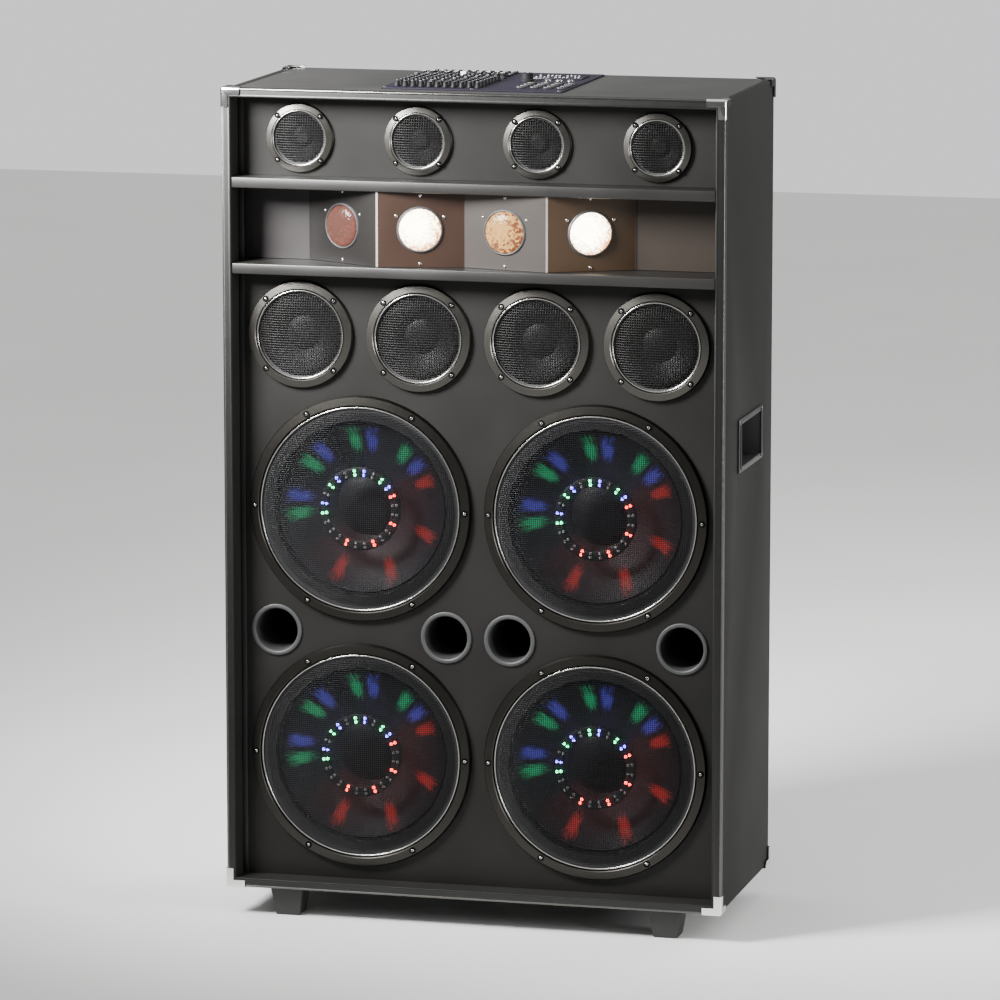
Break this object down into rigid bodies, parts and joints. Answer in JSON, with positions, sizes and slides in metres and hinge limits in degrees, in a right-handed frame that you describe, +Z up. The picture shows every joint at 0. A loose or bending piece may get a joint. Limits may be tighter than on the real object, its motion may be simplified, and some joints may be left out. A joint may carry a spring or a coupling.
{
  "type": "party speaker",
  "caption": "Tall powered party speaker: black cabinet with woofers, mids, tweeters, bass ports, effect lights between two shelves, a top mixer and side handles.",
  "frame": {"origin": "on the floor, under the middle of the cabinet", "axes": "+Z up, the front faces -Y, +X is the right-hand side seen from the front"},
  "size_m": [0.746, 0.342, 1.2353],
  "materials": {
    "black_vinyl_board": "MDF board wrapped in satin black vinyl",
    "black_baffle_board": "MDF board wrapped in satin black vinyl, recessed",
    "graphite_trim": "satin graphite anodised angle",
    "chrome_corner": "polished pressed steel",
    "gunmetal_ring": "metallised dark gunmetal bevelled ring with a black mesh grille",
    "black_steel": "black stamped steel basket",
    "cone_paper": "coated black paper cone with a slight gloss",
    "port_plastic": "semi-gloss black",
    "light_lens": "clear faceted lens in a black lamp housing, lit warm white",
    "light_panel_sheet": "satin black folded sheet",
    "mixer_plate": "dark purple-black satin plate",
    "white_plastic": "white cap",
    "black_plastic": "satin black moulding",
    "rubber_foot": "matte black"
  },
  "bodies": {
    "cabinet": {"bottom_panel": "black_vinyl_board", "corner_protector_lower_front_left": "chrome_corner", "corner_protector_lower_front_right": "chrome_corner", "corner_protector_lower_rear_left": "chrome_corner", "corner_protector_lower_rear_right": "chrome_corner", "corner_protector_upper_front_left": "chrome_corner", "corner_protector_upper_front_right": "chrome_corner", "corner_protector_upper_rear_left": "chrome_corner", "corner_protector_upper_rear_right": "chrome_corner", "edge_trim": "graphite_trim", "effect_light_1": "light_lens", "effect_light_2": "light_lens", "effect_light_3": "light_lens", "effect_light_4": "light_lens", "foot_front_left": "rubber_foot", "foot_front_right": "rubber_foot", "foot_rear_left": "rubber_foot", "foot_rear_right": "rubber_foot", "light_panel": "light_panel_sheet", "lower_shelf": "black_vinyl_board", "main_baffle": "black_baffle_board", "mains_inlet": "black_plastic", "mid_speaker_1": "gunmetal_ring", "mid_speaker_2": "gunmetal_ring", "mid_speaker_3": "gunmetal_ring", "mid_speaker_4": "gunmetal_ring", "mixer_and_amplifier": "mixer_plate", "port_tube_1": "port_plastic", "port_tube_2": "port_plastic", "port_tube_3": "port_plastic", "port_tube_4": "port_plastic", "rear_panel": "black_vinyl_board", "side_handle_left": "black_plastic", "side_handle_right": "black_plastic", "side_panel_left": "black_vinyl_board", "side_panel_right": "black_vinyl_board", "top_panel": "black_vinyl_board", "tweeter_1": "gunmetal_ring", "tweeter_2": "gunmetal_ring", "tweeter_3": "gunmetal_ring", "tweeter_4": "gunmetal_ring", "tweeter_baffle": "black_baffle_board", "upper_shelf": "black_vinyl_board", "woofer_frame_lower_left": "black_steel", "woofer_frame_lower_right": "black_steel", "woofer_frame_upper_left": "black_steel", "woofer_frame_upper_right": "black_steel", "woofer_grille_lower_left": "gunmetal_ring", "woofer_grille_lower_right": "gunmetal_ring", "woofer_grille_upper_left": "gunmetal_ring", "woofer_grille_upper_right": "gunmetal_ring"},
    "woofer_cone_lower_left": {"woofer_cone_lower_left": "cone_paper"},
    "woofer_cone_lower_right": {"woofer_cone_lower_right": "cone_paper"},
    "woofer_cone_upper_left": {"woofer_cone_upper_left": "cone_paper"},
    "woofer_cone_upper_right": {"woofer_cone_upper_right": "cone_paper"},
    "master_volume_knob": {"master_volume_knob": "black_plastic"},
    "microphone_volume_knob": {"microphone_volume_knob": "black_plastic"},
    "channel_fader": {"channel_fader": "white_plastic"},
    "play_button": {"play_button": "black_plastic"},
    "power_switch": {"power_switch": "black_plastic"}
  },
  "joints": [
    {"name": "cone_lower_left_throw", "type": "slide", "parent": "cabinet", "child": "woofer_cone_lower_left", "axis": [0, -1, 0], "range_m": [-0.004, 0.004], "stiffness_N_per_m": 3000},
    {"name": "cone_lower_right_throw", "type": "slide", "parent": "cabinet", "child": "woofer_cone_lower_right", "axis": [0, -1, 0], "range_m": [-0.004, 0.004], "stiffness_N_per_m": 3000},
    {"name": "cone_upper_left_throw", "type": "slide", "parent": "cabinet", "child": "woofer_cone_upper_left", "axis": [0, -1, 0], "range_m": [-0.004, 0.004], "stiffness_N_per_m": 3000},
    {"name": "cone_upper_right_throw", "type": "slide", "parent": "cabinet", "child": "woofer_cone_upper_right", "axis": [0, -1, 0], "range_m": [-0.004, 0.004], "stiffness_N_per_m": 3000},
    {"name": "master_volume_turn", "type": "hinge", "parent": "cabinet", "child": "master_volume_knob", "pos_m": [0.035, 0.02, 1.2223], "axis": [0, 0, 1], "range_deg": [-140, 140]},
    {"name": "microphone_volume_turn", "type": "hinge", "parent": "cabinet", "child": "microphone_volume_knob", "pos_m": [-0.01, 0.02, 1.2223], "axis": [0, 0, 1], "range_deg": [-140, 140]},
    {"name": "channel_fader_slide", "type": "slide", "parent": "cabinet", "child": "channel_fader", "axis": [0, 1, 0], "range_m": [-0.0125, 0.0125]},
    {"name": "play_button_press", "type": "slide", "parent": "cabinet", "child": "play_button", "axis": [0, 0, -1], "range_m": [0, 0.0018], "stiffness_N_per_m": 400},
    {"name": "power_switch_tip", "type": "hinge", "parent": "cabinet", "child": "power_switch", "pos_m": [0, 0.163, 1.038], "axis": [1, 0, 0], "range_deg": [0, 14]}
  ]
}
